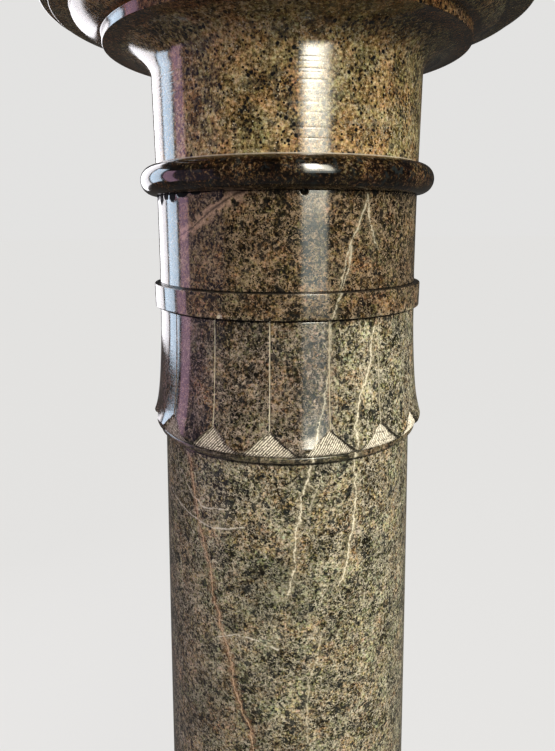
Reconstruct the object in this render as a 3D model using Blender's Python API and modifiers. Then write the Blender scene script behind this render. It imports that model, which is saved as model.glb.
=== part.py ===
"""A tall stone column: base, tapering shaft with a carved collar of petals, neck ring and turned capital."""

import math

import bmesh
import bpy

# Sizes in metres.
JOINT = 0.0003  # bedding joint between two stones
STEPS = 48  # segments round every turned stone
CUTTER_REACH = 0.005  # how far a cutter stands out of the stone that it cuts

# base
PLINTH_WIDTH = 0.394
PLINTH_HEIGHT = 0.0895
PLINTH_EASE = 0.002
BASE_ROOT = 0.01  # depth of the turned part inside the plinth, of which it is one stone
FOOT_TORUS_RADIUS = 0.190
FOOT_TORUS_HEIGHT = 0.046
FOOT_FILLET_RADIUS = 0.171
FOOT_FILLET_HEIGHT = 0.008
TOP_TORUS_RADIUS = 0.166
TOP_TORUS_HEIGHT = 0.028
BASE_TOP_RADIUS = 0.152

# shaft, from its foot up
SHAFT_FOOT_RADIUS = 0.1477
SHAFT_HEAD_RADIUS = 0.1223
SHAFT_PLAIN_HEIGHT = 1.1159
ENTASIS = 0.0023  # swelling over the straight taper at half height
RING_RADIUS = 0.1279
RING_HEIGHT = 0.0059
PETALS = 16
PETAL_HEIGHT = 0.1134
PETAL_TOP_RADIUS = 0.1220
PETAL_SWELL_RADIUS = 0.1332
PETAL_TIP_HEIGHT = 0.0088  # from the swelling down to the ring
SEAM_WIDTH = 0.0016
SEAM_DEPTH = 0.0012
SEAM_START = 0.0008  # plain stone left between the band and the seams
SEAM_OVERRUN = 0.001  # how far each seam runs on into its notch
SEAM_STATIONS = 8
NOTCH_HEIGHT = 0.0232
NOTCH_HALF_ANGLE = 9.0  # degrees at the foot of a notch
NOTCH_TOP_DEPTH = 0.0007
BAND_RADIUS = 0.1263
BAND_HEIGHT = 0.0211
BAND_EASE = 0.0009
DRUM_FLARE = 0.0009
DRUM_FLARE_HEIGHT = 0.0080
DRUM_FOOT_RADIUS = 0.1208
DRUM_HEAD_RADIUS = 0.1199
DRUM_HEIGHT = 0.0692

# neck ring
NECK_RING_RADIUS = 0.1342
NECK_RING_HEIGHT = 0.0257

# capital
NECK_RADIUS = 0.1200
NECK_HEIGHT = 0.0720
CAVETTO_RISE = 0.0231
CAVETTO_RUN = 0.0360
FILLET_RADIUS = 0.1592
FILLET_HEIGHT = 0.0081
OVOLO_RISE = 0.0132
OVOLO_RADIUS = 0.1820
OVOLO_FULLNESS = 0.5  # 0 is a straight slope, 1 a quarter of an ellipse
OVOLO_QUIRK = 0.0040  # upright between the ovolo and the slab's underside
STRIP_RADIUS = 0.1984
STRIP_HEIGHT = 0.0046
ABACUS_RADIUS = 0.2058
ABACUS_HEIGHT = 0.0434
ABACUS_EASE = 0.0015

BASE_TOP = PLINTH_HEIGHT + FOOT_TORUS_HEIGHT + FOOT_FILLET_HEIGHT + TOP_TORUS_HEIGHT
SHAFT_FOOT = BASE_TOP + JOINT
RING_FOOT = SHAFT_FOOT + SHAFT_PLAIN_HEIGHT
RING_HEAD = RING_FOOT + RING_HEIGHT
BAND_FOOT = RING_HEAD + PETAL_HEIGHT
BAND_HEAD = BAND_FOOT + BAND_HEIGHT
SHAFT_HEAD = BAND_HEAD + DRUM_FLARE_HEIGHT + DRUM_HEIGHT
NECK_RING_FOOT = SHAFT_HEAD + JOINT
CAPITAL_FOOT = NECK_RING_FOOT + NECK_RING_HEIGHT + JOINT


def quarter(start, end, count, hollow=False):
    """Points of a quarter of an ellipse after start, up to end. It leaves start along the radius, or along the
    height if hollow, and arrives the other way."""
    (r0, z0), (r1, z1) = start, end
    found = []
    for i in range(1, count + 1):
        a = 0.5 * math.pi * i / count
        s, c = math.sin(a), 1 - math.cos(a)
        along, across = (c, s) if hollow else (s, c)
        found.append((r0 + (r1 - r0) * along, z0 + (z1 - z0) * across))
    return found


def half_round(inner, outer, top, height, count):
    """Points of a half round from (inner, top) down to (inner, top - height), reaching out to outer."""
    found = []
    for i in range(count + 1):
        a = math.pi * i / count
        found.append((inner + (outer - inner) * math.sin(a), top - 0.5 * height * (1 - math.cos(a))))
    return found


def petal_radius(down):
    """Radius of the petals at a share of the way from the band down to their swelling."""
    swell = 0.7 * down**1.6 + 0.3 * down**9
    return PETAL_TOP_RADIUS + (PETAL_SWELL_RADIUS - PETAL_TOP_RADIUS) * swell


def shaft_radius(down):
    """Radius of the plain shaft at a share of the way from the ring down to its foot."""
    straight = SHAFT_HEAD_RADIUS + (SHAFT_FOOT_RADIUS - SHAFT_HEAD_RADIUS) * down
    return straight + 4 * ENTASIS * down * (1 - down)


def material(name, colour, rough):
    made = bpy.data.materials.new(name)
    made.use_nodes = True
    shader = made.node_tree.nodes["Principled BSDF"]
    shader.inputs["Base Color"].default_value = (*colour, 1)
    shader.inputs["Roughness"].default_value = rough
    return made


def add(name, verts, edges, faces, into, made=None):
    mesh = bpy.data.meshes.new(name)
    mesh.from_pydata(verts, edges, faces)
    if made:
        mesh.materials.append(made)
    obj = bpy.data.objects.new(name, mesh)
    into.objects.link(obj)
    return obj


def turned(name, profile, into, made):
    """The profile, from the axis at the top down its outer side to the axis at the foot, turned about Z."""
    verts = [(r, 0, z) for r, z in profile]
    obj = add(name, verts, [(i, i + 1) for i in range(len(verts) - 1)], [], into, made)
    screw = obj.modifiers.new("turning", "SCREW")
    screw.steps = screw.render_steps = STEPS
    screw.use_merge_vertices = True
    screw.merge_threshold = 0.00001
    return obj


def block(name, width, height, ease, into, made):
    """A square block standing on the floor, with its edges eased."""
    work = bmesh.new()
    bmesh.ops.create_cube(work, size=1)
    for vert in work.verts:
        vert.co = (vert.co.x * width, vert.co.y * width, (vert.co.z + 0.5) * height)
    obj = add(name, [], [], [], into, made)
    work.to_mesh(obj.data)
    work.free()
    bevel = obj.modifiers.new("eased_edges", "BEVEL")
    bevel.width = ease
    bevel.segments = 1
    return obj


def settle(obj):
    """Turns the modifiers into plain mesh, smooth but for its arrises."""
    graph = bpy.context.evaluated_depsgraph_get()
    mesh = bpy.data.meshes.new_from_object(obj.evaluated_get(graph))
    obj.modifiers.clear()
    obj.data = mesh
    mesh.shade_smooth()
    mesh.set_sharp_from_angle(angle=math.radians(30))


def boolean(obj, cutter, operation):
    cutter.hide_render = True
    cutter.display_type = "WIRE"
    step = obj.modifiers.new(cutter.name, "BOOLEAN")
    step.operation = operation
    step.solver = "EXACT"
    step.object = cutter


def prism(rings):
    """Verts and faces of a solid through equal rings of points, each ring anticlockwise seen from the last one."""
    sides = len(rings[0])
    verts = [p for ring in rings for p in ring]
    faces = [tuple(range(sides))]
    for k in range(len(rings) - 1):
        for i in range(sides):
            a, b = k * sides + i, k * sides + (i + 1) % sides
            faces.append((a, a + sides, b + sides, b))
    faces.append(tuple(reversed(range(len(verts) - sides, len(verts)))))
    return verts, faces


def around(solid):
    """One solid set at every seam between two petals. The middle of a petal faces the front, along -Y."""
    verts, faces = solid
    all_verts, all_faces = [], []
    for i in range(PETALS):
        a = math.radians(360 / PETALS * (i + 0.5) - 90)
        first = len(all_verts)
        all_verts += [
            (x * math.cos(a) - y * math.sin(a), x * math.sin(a) + y * math.cos(a), z) for x, y, z in verts
        ]
        all_faces += [tuple(first + v for v in face) for face in faces]
    return all_verts, all_faces


def outwards(obj):
    work = bmesh.new()
    work.from_mesh(obj.data)
    bmesh.ops.recalc_face_normals(work, faces=work.faces)
    work.to_mesh(obj.data)
    work.free()


def seams():
    """A V groove down each seam, following the petals from just under the band into the notch."""
    drop = PETAL_HEIGHT - PETAL_TIP_HEIGHT
    start = SEAM_START / drop
    stop = (PETAL_HEIGHT - NOTCH_HEIGHT + SEAM_OVERRUN) / drop
    wide = 0.5 * SEAM_WIDTH * (SEAM_DEPTH + CUTTER_REACH) / SEAM_DEPTH
    rings = []
    for i in range(SEAM_STATIONS + 1):
        down = start + (stop - start) * i / SEAM_STATIONS
        r, z = petal_radius(down), BAND_FOOT - drop * down
        outer = r + CUTTER_REACH
        rings.append([(r - SEAM_DEPTH, 0, z), (outer, wide, z), (outer, -wide, z)])
    return prism(rings)


def notches():
    """A flat three-cornered recess below each seam, between the tips of two petals."""
    drop = PETAL_HEIGHT - PETAL_TIP_HEIGHT
    head = RING_HEAD + NOTCH_HEIGHT
    inner_head = petal_radius((BAND_FOOT - head) / drop) - NOTCH_TOP_DEPTH
    inner_foot = RING_RADIUS * math.cos(math.radians(NOTCH_HALF_ANGLE))
    outer = PETAL_SWELL_RADIUS + CUTTER_REACH
    rings = []
    for at_head, at_foot in ((inner_head, inner_foot), (outer, outer)):
        half = at_foot * math.tan(math.radians(NOTCH_HALF_ANGLE))
        rings.append([(at_head, 0, head), (at_foot, -half, RING_HEAD), (at_foot, half, RING_HEAD)])
    return prism(rings)


def shaft_profile():
    drop = PETAL_HEIGHT - PETAL_TIP_HEIGHT
    swell = RING_HEAD + PETAL_TIP_HEIGHT
    found = [(0, SHAFT_HEAD), (DRUM_HEAD_RADIUS, SHAFT_HEAD)]
    neck = (DRUM_FOOT_RADIUS, BAND_HEAD + DRUM_FLARE_HEIGHT)
    found += [neck] + quarter(neck, (DRUM_FOOT_RADIUS + DRUM_FLARE, BAND_HEAD), 2, hollow=True)
    found += [
        (BAND_RADIUS - BAND_EASE, BAND_HEAD),
        (BAND_RADIUS, BAND_HEAD - BAND_EASE),
        (BAND_RADIUS, BAND_FOOT + BAND_EASE),
        (BAND_RADIUS - BAND_EASE, BAND_FOOT),
    ]
    for down in (0, 0.3, 0.5, 0.65, 0.77, 0.86, 0.92, 0.97, 1):
        found.append((petal_radius(down), BAND_FOOT - drop * down))
    found += quarter((PETAL_SWELL_RADIUS, swell), (RING_RADIUS, RING_HEAD), 3, hollow=True)
    found += [(RING_RADIUS, RING_FOOT), (SHAFT_HEAD_RADIUS, RING_FOOT)]
    for i in range(1, 7):
        found.append((shaft_radius(i / 6), RING_FOOT - SHAFT_PLAIN_HEIGHT * i / 6))
    return found + [(0, SHAFT_FOOT)]


def ovolo_curve(start, end, count):
    """A quarter of an ellipse, drawn in towards its chord by the ovolo's fullness."""
    found = []
    for i, (r, z) in enumerate(quarter(start, end, count), 1):
        a = 0.5 * math.pi * i / count
        along = (math.sin(a) + 1 - math.cos(a)) / 2
        chord = [start[k] + (end[k] - start[k]) * along for k in (0, 1)]
        found.append(tuple(c + OVOLO_FULLNESS * (v - c) for c, v in zip(chord, (r, z))))
    return found


def capital_profile():
    cavetto = CAPITAL_FOOT + NECK_HEIGHT
    fillet = cavetto + CAVETTO_RISE
    ovolo = fillet + FILLET_HEIGHT
    quirk = ovolo + OVOLO_RISE
    strip = quirk + OVOLO_QUIRK
    soffit = strip + STRIP_HEIGHT
    top = soffit + ABACUS_HEIGHT
    rising = [(NECK_RADIUS, CAPITAL_FOOT), (NECK_RADIUS, cavetto)]
    rising += quarter(rising[-1], (NECK_RADIUS + CAVETTO_RUN, fillet), 6, hollow=True)
    rising += [(FILLET_RADIUS, fillet), (FILLET_RADIUS, ovolo)]
    rising += ovolo_curve(rising[-1], (OVOLO_RADIUS, quirk), 6)
    rising += [(OVOLO_RADIUS, strip), (STRIP_RADIUS, strip)]
    rising += [(STRIP_RADIUS, soffit), (ABACUS_RADIUS - ABACUS_EASE, soffit)]
    rising += [(ABACUS_RADIUS, soffit + ABACUS_EASE), (ABACUS_RADIUS, top - ABACUS_EASE)]
    rising += [(ABACUS_RADIUS - ABACUS_EASE, top), (0, top)]
    return rising[::-1] + [(0, CAPITAL_FOOT)]


def base_profile():
    fillet = PLINTH_HEIGHT + FOOT_TORUS_HEIGHT
    torus = fillet + FOOT_FILLET_HEIGHT
    found = [(0, BASE_TOP)]
    found += half_round(BASE_TOP_RADIUS, TOP_TORUS_RADIUS, BASE_TOP, TOP_TORUS_HEIGHT, 8)
    found += [(FOOT_FILLET_RADIUS, torus), (FOOT_FILLET_RADIUS, fillet)]
    found += half_round(FOOT_FILLET_RADIUS, FOOT_TORUS_RADIUS, fillet, FOOT_TORUS_HEIGHT, 10)[1:]
    sunk = PLINTH_HEIGHT - BASE_ROOT
    return found + [(FOOT_FILLET_RADIUS, sunk), (0, sunk)]


def main():
    for obj in list(bpy.data.objects):
        bpy.data.objects.remove(obj)
    column = bpy.data.collections.new("stone_column")
    cutters = bpy.data.collections.new("cutters")
    for made in (column, cutters):
        bpy.context.scene.collection.children.link(made)

    shaft_stone = material("shaft_stone", (0.115, 0.105, 0.075), 0.25)
    ring_stone = material("ring_stone", (0.055, 0.040, 0.028), 0.15)
    capital_stone = material("capital_stone", (0.150, 0.125, 0.080), 0.25)
    base_stone = material("base_stone", (0.110, 0.100, 0.072), 0.3)

    shaft = turned("shaft", shaft_profile(), column, shaft_stone)
    for name, solid in (("seam_cutter", seams()), ("notch_cutter", notches())):
        verts, faces = around(solid)
        cutter = add(name, verts, [], faces, cutters)
        outwards(cutter)
        boolean(shaft, cutter, "DIFFERENCE")

    ring = half_round(NECK_RADIUS, NECK_RING_RADIUS, NECK_RING_FOOT + NECK_RING_HEIGHT, NECK_RING_HEIGHT, 12)
    turned("neck_ring", [(0, ring[0][1])] + ring + [(0, ring[-1][1])], column, ring_stone)
    turned("capital", capital_profile(), column, capital_stone)

    base = turned("base", base_profile(), column, base_stone)
    plinth = block("plinth_block", PLINTH_WIDTH, PLINTH_HEIGHT, PLINTH_EASE, cutters, base_stone)
    boolean(base, plinth, "UNION")
    for obj in column.objects:
        settle(obj)


main()
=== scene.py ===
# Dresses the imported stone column: fine mouldings, the carved petal collar and polished serpentine.

import math

import bpy
import numpy as np
from mathutils import Matrix, Vector


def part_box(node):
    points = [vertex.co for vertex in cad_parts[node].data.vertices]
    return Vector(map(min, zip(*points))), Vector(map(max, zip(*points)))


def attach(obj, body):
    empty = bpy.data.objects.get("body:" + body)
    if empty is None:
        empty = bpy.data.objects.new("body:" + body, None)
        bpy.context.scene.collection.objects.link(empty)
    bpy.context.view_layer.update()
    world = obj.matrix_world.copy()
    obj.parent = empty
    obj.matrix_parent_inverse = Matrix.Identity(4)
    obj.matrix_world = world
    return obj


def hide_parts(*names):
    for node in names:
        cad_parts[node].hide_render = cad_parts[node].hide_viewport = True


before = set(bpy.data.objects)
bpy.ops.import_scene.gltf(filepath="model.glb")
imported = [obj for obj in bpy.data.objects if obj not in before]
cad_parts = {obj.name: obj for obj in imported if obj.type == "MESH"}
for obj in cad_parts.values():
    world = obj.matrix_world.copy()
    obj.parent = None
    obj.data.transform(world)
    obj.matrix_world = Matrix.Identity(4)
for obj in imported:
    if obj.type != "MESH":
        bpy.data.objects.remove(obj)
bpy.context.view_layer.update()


levels = {name: (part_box(name)[0].z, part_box(name)[1].z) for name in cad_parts}
print("frame loaded, nodes:", ", ".join(sorted(levels)))


def easedLine(corners, steps=5):
    # corners: rows of radius, height, easing. Each corner with an easing e is cut back by e along both sides,
    # and a quadratic curve a(1-t)^2 + 2b t(1-t) + c t^2 leads round it.
    corners = np.array(corners, float)
    points, ease = corners[:, :2], corners[:, 2]
    t = np.linspace(0, 1, steps + 1)[:, None]
    found = [points[:1]]
    for i in range(1, len(points) - 1):
        before, here, after = points[i - 1], points[i], points[i + 1]
        toBefore = (before - here) / max(np.linalg.norm(before - here), 1e-9)
        toAfter = (after - here) / max(np.linalg.norm(after - here), 1e-9)
        e = ease[i]
        if e <= 0:
            found.append(here[None])
        else:
            a, c = here + toBefore * e, here + toAfter * e
            found.append(a * (1 - t) ** 2 + here * 2 * t * (1 - t) + c * t**2)
    found.append(points[-1:])
    return np.concatenate(found)


def quarterLine(start, end, count, alongHeight=False):
    # Quarter of an ellipse: one coordinate follows sin a and the other 1 - cos a, for a from 0 to 90 degrees.
    a = np.linspace(0, math.pi / 2, count + 1)
    early, late = np.sin(a), 1 - np.cos(a)
    across, up = (late, early) if alongHeight else (early, late)
    start, end = np.array(start), np.array(end)
    return np.stack([start[0] + (end[0] - start[0]) * across, start[1] + (end[1] - start[1]) * up], 1)


def roundLine(inner, outer, low, high, count, fullness=1.0):
    # Half round from low to high: radius inner + (outer - inner) sin(a)^fullness, height by cos a.
    a = np.linspace(0, math.pi, count + 1)
    radius = inner + (outer - inner) * np.sin(a) ** fullness
    return np.stack([radius, low + (high - low) * 0.5 * (1 - np.cos(a))], 1)


def unevenness(angle, height, seed, turns, rises, waves=24):
    # Sum of cosines cos(k angle + m height + phase) with random whole k up to turns and m up to rises, about -1 to 1.
    rng = np.random.default_rng(seed)
    k = rng.integers(0, turns + 1, waves)
    m = rng.uniform(-rises, rises, waves)
    phase = rng.uniform(0, 2 * math.pi, waves)
    total = sum(np.cos(k[i] * angle + m[i] * height + phase[i]) for i in range(waves))
    return total / math.sqrt(waves)


def evenAngles(count):
    return np.arange(count) * (2 * math.pi / count) - math.pi


def stoneMesh(name, angle, radius, height, stone, attributes=None):
    # A surface of revolution that may vary with the angle: x = r sin a, y = -r cos a, z = height, on a grid of rows
    # going up and columns going round. A point on the axis closes each end.
    rows, columns = radius.shape
    x, y = radius * np.sin(angle), -radius * np.cos(angle)
    z = np.broadcast_to(height, radius.shape)
    ends = [[0, 0, z[0].mean()], [0, 0, z[-1].mean()]]
    verts = np.concatenate([np.stack([x, y, z], -1).reshape(-1, 3), ends])
    i = np.arange(columns)
    j = np.arange(rows - 1)[:, None]
    here, beside = j * columns + i, j * columns + (i + 1) % columns
    quads = np.stack([here, beside, beside + columns, here + columns], -1).reshape(-1, 4)
    top = (rows - 1) * columns
    foot, head = rows * columns, rows * columns + 1
    low = np.stack([(i + 1) % columns, i, np.full(columns, foot)], -1)
    high = np.stack([top + i, top + (i + 1) % columns, np.full(columns, head)], -1)
    loops = np.concatenate([quads.ravel(), low.ravel(), high.ravel()]).astype(np.int32)
    sizes = np.concatenate([np.full(len(quads), 4), np.full(2 * columns, 3)])
    starts = np.concatenate([[0], np.cumsum(sizes)[:-1]]).astype(np.int32)
    mesh = bpy.data.meshes.new(name)
    mesh.vertices.add(len(verts))
    mesh.vertices.foreach_set("co", verts.astype(np.float32).ravel())
    mesh.loops.add(len(loops))
    mesh.loops.foreach_set("vertex_index", loops)
    mesh.polygons.add(len(sizes))
    mesh.polygons.foreach_set("loop_start", starts)
    mesh.update(calc_edges=True)
    mesh.validate()
    for key, values in (attributes or {}).items():
        made = mesh.attributes.new(key, "FLOAT", "POINT")
        flat = np.concatenate([np.broadcast_to(values, radius.shape).ravel(), [0, 0]])
        made.data.foreach_set("value", flat.astype(np.float32))
    mesh.shade_smooth()
    mesh.set_sharp_from_angle(angle=math.radians(50))
    mesh.materials.append(stone)
    piece = bpy.data.objects.new(name, mesh)
    bpy.context.scene.collection.objects.link(piece)
    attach(piece, "root")
    return piece


class Nodes:
    # Short calls for the shader nodes that the stones share.
    def __init__(self, tree):
        self.tree = tree

    def add(self, kind, **settings):
        node = self.tree.nodes.new(kind)
        for key, value in settings.items():
            setattr(node, key, value)
        return node

    def put(self, socket, value):
        if hasattr(value, "is_output"):
            self.tree.links.new(value, socket)
        else:
            socket.default_value = value

    def math(self, operation, a, b=0.0, clamp=False):
        node = self.add("ShaderNodeMath", operation=operation, use_clamp=clamp)
        self.put(node.inputs[0], a)
        self.put(node.inputs[1], b)
        return node.outputs[0]

    def step(self, value, start, end, low=0.0, high=1.0, smooth=True):
        node = self.add("ShaderNodeMapRange", interpolation_type="SMOOTHSTEP" if smooth else "LINEAR")
        for socket, v in zip(node.inputs, (value, start, end, low, high)):
            self.put(socket, v)
        return node.outputs[0]

    def vector(self, operation, a, b=None, scale=None):
        node = self.add("ShaderNodeVectorMath", operation=operation)
        self.put(node.inputs[0], a)
        if b is not None:
            self.put(node.inputs[1], b)
        if scale is not None:
            self.put(node.inputs["Scale"], scale)
        return node.outputs[0]

    def noise(self, place, size, detail=2.0, rough=0.5, distortion=0.0, colour=False):
        # size is the width in mm of the largest patches
        node = self.add("ShaderNodeTexNoise")
        self.put(node.inputs["Vector"], place)
        self.put(node.inputs["Scale"], 1.0 / size)
        self.put(node.inputs["Detail"], detail)
        self.put(node.inputs["Roughness"], rough)
        self.put(node.inputs["Distortion"], distortion)
        return node.outputs["Color" if colour else "Fac"]

    def cells(self, place, size, feature="F1"):
        node = self.add("ShaderNodeTexVoronoi", feature=feature)
        self.put(node.inputs["Vector"], place)
        self.put(node.inputs["Scale"], 1.0 / size)
        return node

    def blend(self, amount, below, above, kind="MIX"):
        node = self.add("ShaderNodeMix", data_type="RGBA", blend_type=kind)
        self.put(node.inputs[0], amount)
        for socket, v in ((node.inputs[6], below), (node.inputs[7], above)):
            self.put(socket, (*v, 1) if isinstance(v, tuple) else v)
        return node.outputs[2]

    def ramp(self, value, stops):
        node = self.add("ShaderNodeValToRGB")
        self.put(node.inputs[0], value)
        while len(node.color_ramp.elements) < len(stops):
            node.color_ramp.elements.new(0.5)
        for element, (place, colour) in zip(node.color_ramp.elements, stops):
            element.position = place
            element.color = (*colour, 1)
        return node.outputs[0]

    def attribute(self, name):
        return self.add("ShaderNodeAttribute", attribute_name=name).outputs["Fac"]


mmPerDegree = 2.2  # along the shaft's surface
farAway = 30.0  # mm


def fracture(nodes, angle, height, path):
    # Distance in mm from a line of (degrees from the front, height in metres), and far away past its ends. A curve
    # gives the line's angle at each height, or its height at each angle where it runs more level than steep.
    steep = abs(path[-1][1] - path[0][1]) * 1000 > abs(path[-1][0] - path[0][0]) * mmPerDegree
    if not steep:
        degreesPerMetre = 1000 / mmPerDegree
        angle, height = nodes.math("MULTIPLY", height, degreesPerMetre), nodes.math("DIVIDE", angle, degreesPerMetre)
        path = [(z * degreesPerMetre, a / degreesPerMetre) for a, z in path]
    path = sorted(path, key=lambda p: p[1])
    low, high = path[0][1], path[-1][1]
    left, right = min(p[0] for p in path) - 1, max(p[0] for p in path) + 1
    curve = nodes.add("ShaderNodeFloatCurve")
    line = curve.mapping.curves[0]
    spots = [((z - low) / (high - low), (a - left) / (right - left)) for a, z in path]
    line.points[0].location, line.points[1].location = spots[0], spots[-1]
    for spot in spots[1:-1]:
        line.points.new(*spot)
    for point in line.points:
        point.handle_type = "VECTOR"
    curve.mapping.update()
    nodes.put(curve.inputs["Value"], nodes.step(height, low, high, smooth=False))
    aim = nodes.step(curve.outputs[0], 0.0, 1.0, left, right, smooth=False)
    apart = nodes.math("ABSOLUTE", nodes.math("SUBTRACT", angle, aim))
    fade = 0.004
    between = nodes.math("MULTIPLY", nodes.step(height, low - fade, low), nodes.step(height, high + fade, high))
    past = nodes.step(between, 0.0, 1.0, farAway, 0.0)
    return nodes.math("ADD", nodes.math("MULTIPLY", apart, mmPerDegree), past)


def serpentine(name, look):
    # Polished serpentine: dark and pale grains and clouds, with hair veins, specks, flecks, blotches, rusty patches
    # and fractures. All sizes are in mm on the stone, and levels are in metres.
    stone = bpy.data.materials.new(name)
    stone.use_nodes = True
    nodes = Nodes(stone.node_tree)
    shader = stone.node_tree.nodes["Principled BSDF"]
    objectPlace = nodes.add("ShaderNodeTexCoord").outputs["Object"]
    place = nodes.vector("SCALE", objectPlace, scale=1000.0)
    if look.get("shift"):
        place = nodes.vector("ADD", place, look["shift"])
    spread = nodes.vector("SUBTRACT", nodes.noise(place, 3.6, 3.0, 0.6, colour=True), (0.5, 0.5, 0.5))
    bent = nodes.vector("ADD", place, nodes.vector("SCALE", spread, scale=look["wander"]))

    # tone: broad clouds, fine grain and the net between the grains, from dark to pale
    clouds = nodes.noise(place, look["cloudSize"], 4.0, 0.62)
    grain = nodes.noise(bent, look["grainSize"], 3.0, 0.7)
    edges = nodes.cells(bent, look["netSize"], "DISTANCE_TO_EDGE").outputs["Distance"]
    patchy = nodes.step(nodes.noise(place, look["netPatch"], 3.0, 0.6), 0.35, 0.6, 0.35, 1.0)
    net = nodes.math("MULTIPLY", nodes.step(edges, look["netWidth"], 0.0), patchy)
    tone = look["tone"]
    for field, share in ((clouds, look["cloudShare"]), (grain, look["grainShare"])):
        tone = nodes.math("ADD", tone, nodes.math("MULTIPLY", nodes.math("SUBTRACT", field, 0.5), share))
    tone = nodes.math("ADD", tone, nodes.math("MULTIPLY", net, look["netShare"]))
    split = nodes.add("ShaderNodeSeparateXYZ")
    nodes.put(split.inputs[0], objectPlace)
    height = split.outputs[2]
    colour = nodes.ramp(tone, look["ground"])

    # each grain leans to a hue of its own
    for size, share in look["hueSizes"]:
        lean = nodes.noise(nodes.vector("ADD", bent, (70.0, 20.0, 50.0)), size, 2.0, 0.6, colour=True)
        lean = nodes.vector("MULTIPLY", nodes.vector("SUBTRACT", lean, (0.5, 0.5, 0.5)), look["hueLean"])
        lean = nodes.vector("ADD", nodes.vector("SCALE", lean, scale=share), (1.0, 1.0, 1.0))
        colour = nodes.vector("MULTIPLY", colour, lean)

    # greenish and brownish drift, then rusty patches, tint what is there
    drift = nodes.step(nodes.noise(place, look["driftSize"], 3.0, 0.55, 0.8), 0.38, 0.62)
    tint = nodes.blend(drift, look["greenish"], look["brownish"])
    colour = nodes.blend(1.0, colour, tint, "MULTIPLY")
    rust = nodes.step(nodes.noise(place, look["rustSize"], 5.0, 0.66, 0.6), *look["rustFrom"])
    tinted = nodes.blend(1.0, colour, look["rust"], "MULTIPLY")
    colour = nodes.blend(nodes.math("MULTIPLY", rust, look["rustShare"]), colour, tinted)

    # hair veins: thin lines where a noise passes its middle value, close in some places and missing in others
    patch = nodes.noise(place, 26.0, 3.0, 0.6)
    for i, (size, width, share) in enumerate(look["hairs"]):
        moved = nodes.vector("ADD", bent, (300.0 * i, 210.0 * i, 90.0 * i))
        middle = nodes.math("ABSOLUTE", nodes.math("SUBTRACT", nodes.noise(moved, size, 4.0, 0.62), 0.5))
        hair = nodes.step(middle, width / size, 0.1 * width / size)
        there = nodes.step(patch, 0.38, 0.56) if i % 2 else nodes.step(patch, 0.62, 0.44)
        hair = nodes.math("MULTIPLY", hair, nodes.math("MULTIPLY", there, share))
        colour = nodes.blend(hair, colour, look["pale"])

    # blotches and specks of dark mineral
    blotch = nodes.step(nodes.noise(bent, look["blotchSize"], 2.0, 0.55, 0.4), *look["blotchFrom"])
    colour = nodes.blend(nodes.math("MULTIPLY", blotch, look["blotchShare"]), colour, look["blotch"])
    for size, radius, share, shown in look["specks"]:
        specks = nodes.cells(bent, size)
        pick = nodes.add("ShaderNodeSeparateColor")
        nodes.put(pick.inputs[0], specks.outputs["Color"])
        chosen = nodes.step(pick.outputs[1], 1 - share, 1 - share + 0.02)
        near = nodes.step(specks.outputs["Distance"], radius, radius * 0.6)
        colour = nodes.blend(nodes.math("MULTIPLY", near, chosen), colour, look[shown])

    # broad darker and browner parts with ragged edges: painted shade where less light falls, on the left of the
    # petals and on the capital's fillet under the slab, and the drum, the ring under the petals and two patches of
    # the shaft darker
    forward = nodes.math("MULTIPLY", split.outputs[1], -1.0)
    angle = nodes.math("DEGREES", nodes.math("ARCTAN2", split.outputs[0], forward))
    for left, right, low, high, soft, factor in look["paintedShadeAndTone"]:
        stray = nodes.math("SUBTRACT", nodes.noise(place, 30.0, 4.0, 0.65), 0.5)
        z = nodes.math("ADD", height, nodes.math("MULTIPLY", stray, soft * 4))
        a = nodes.math("ADD", angle, nodes.math("MULTIPLY", stray, 24.0))
        inside = nodes.step(z, low - soft, low + soft)
        for value, start, end in ((z, high + soft, high - soft), (a, left - 5, left + 5), (a, right + 5, right - 5)):
            inside = nodes.math("MULTIPLY", inside, nodes.step(value, start, end))
        colour = nodes.blend(inside, colour, nodes.blend(1.0, colour, factor, "MULTIPLY"))

    # fractures: a thin bright core in a soft halo, both of them uneven
    if look["fractures"]:
        coarse = nodes.math("SUBTRACT", nodes.noise(place, 11.0, 5.0, 0.7), 0.5)
        angle = nodes.math("ADD", angle, nodes.math("MULTIPLY", coarse, 5.5))
        ragged = nodes.math("ADD", height, nodes.math("MULTIPLY", coarse, 0.006))
        thick = nodes.step(nodes.noise(place, 5.0, 3.0, 0.65), 0.34, 0.64, 0.0, 1.3)
    for vein in look["fractures"]:
        near = None
        for path in vein["lines"]:
            one = fracture(nodes, angle, ragged, path)
            near = one if near is None else nodes.math("MINIMUM", near, one)
        width = nodes.math("MULTIPLY", nodes.math("ADD", thick, 0.25), vein["width"])
        for reach, strength in ((vein["halo"], vein["haloShare"]), (1.0, vein["share"])):
            edge = nodes.math("MULTIPLY", width, reach)
            found = nodes.math("SUBTRACT", 1.0, nodes.math("DIVIDE", near, edge), clamp=True)
            found = nodes.math("MULTIPLY", nodes.math("POWER", found, 0.7), strength)
            colour = nodes.blend(found, colour, vein["haloColour"] if reach > 1 else vein["colour"])

    # painted shade: dark lines along the sunk lines and creases below the ring and at the foot and top of the band
    for low, high in look["paintedShadeLines"]:
        level = nodes.math("ADD", height, nodes.math("MULTIPLY", nodes.noise(place, 6.0, 3.0), 0.0006))
        line = nodes.step(level, low, low + 0.0007)
        line = nodes.math("MULTIPLY", line, nodes.step(level, high + 0.0006, high + 0.0003))
        colour = nodes.blend(nodes.math("MULTIPLY", line, 0.85), colour, look["speck"])

    rough = nodes.step(nodes.noise(place, 14.0, 3.0, 0.6), 0.3, 0.7, *look["rough"])
    for low, high, least in look["dull"]:
        worn = nodes.math("MULTIPLY", nodes.step(height, low, low + 0.0003), nodes.step(height, high, high - 0.0003))
        rough = nodes.math("MAXIMUM", rough, nodes.math("MULTIPLY", worn, least))

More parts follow.
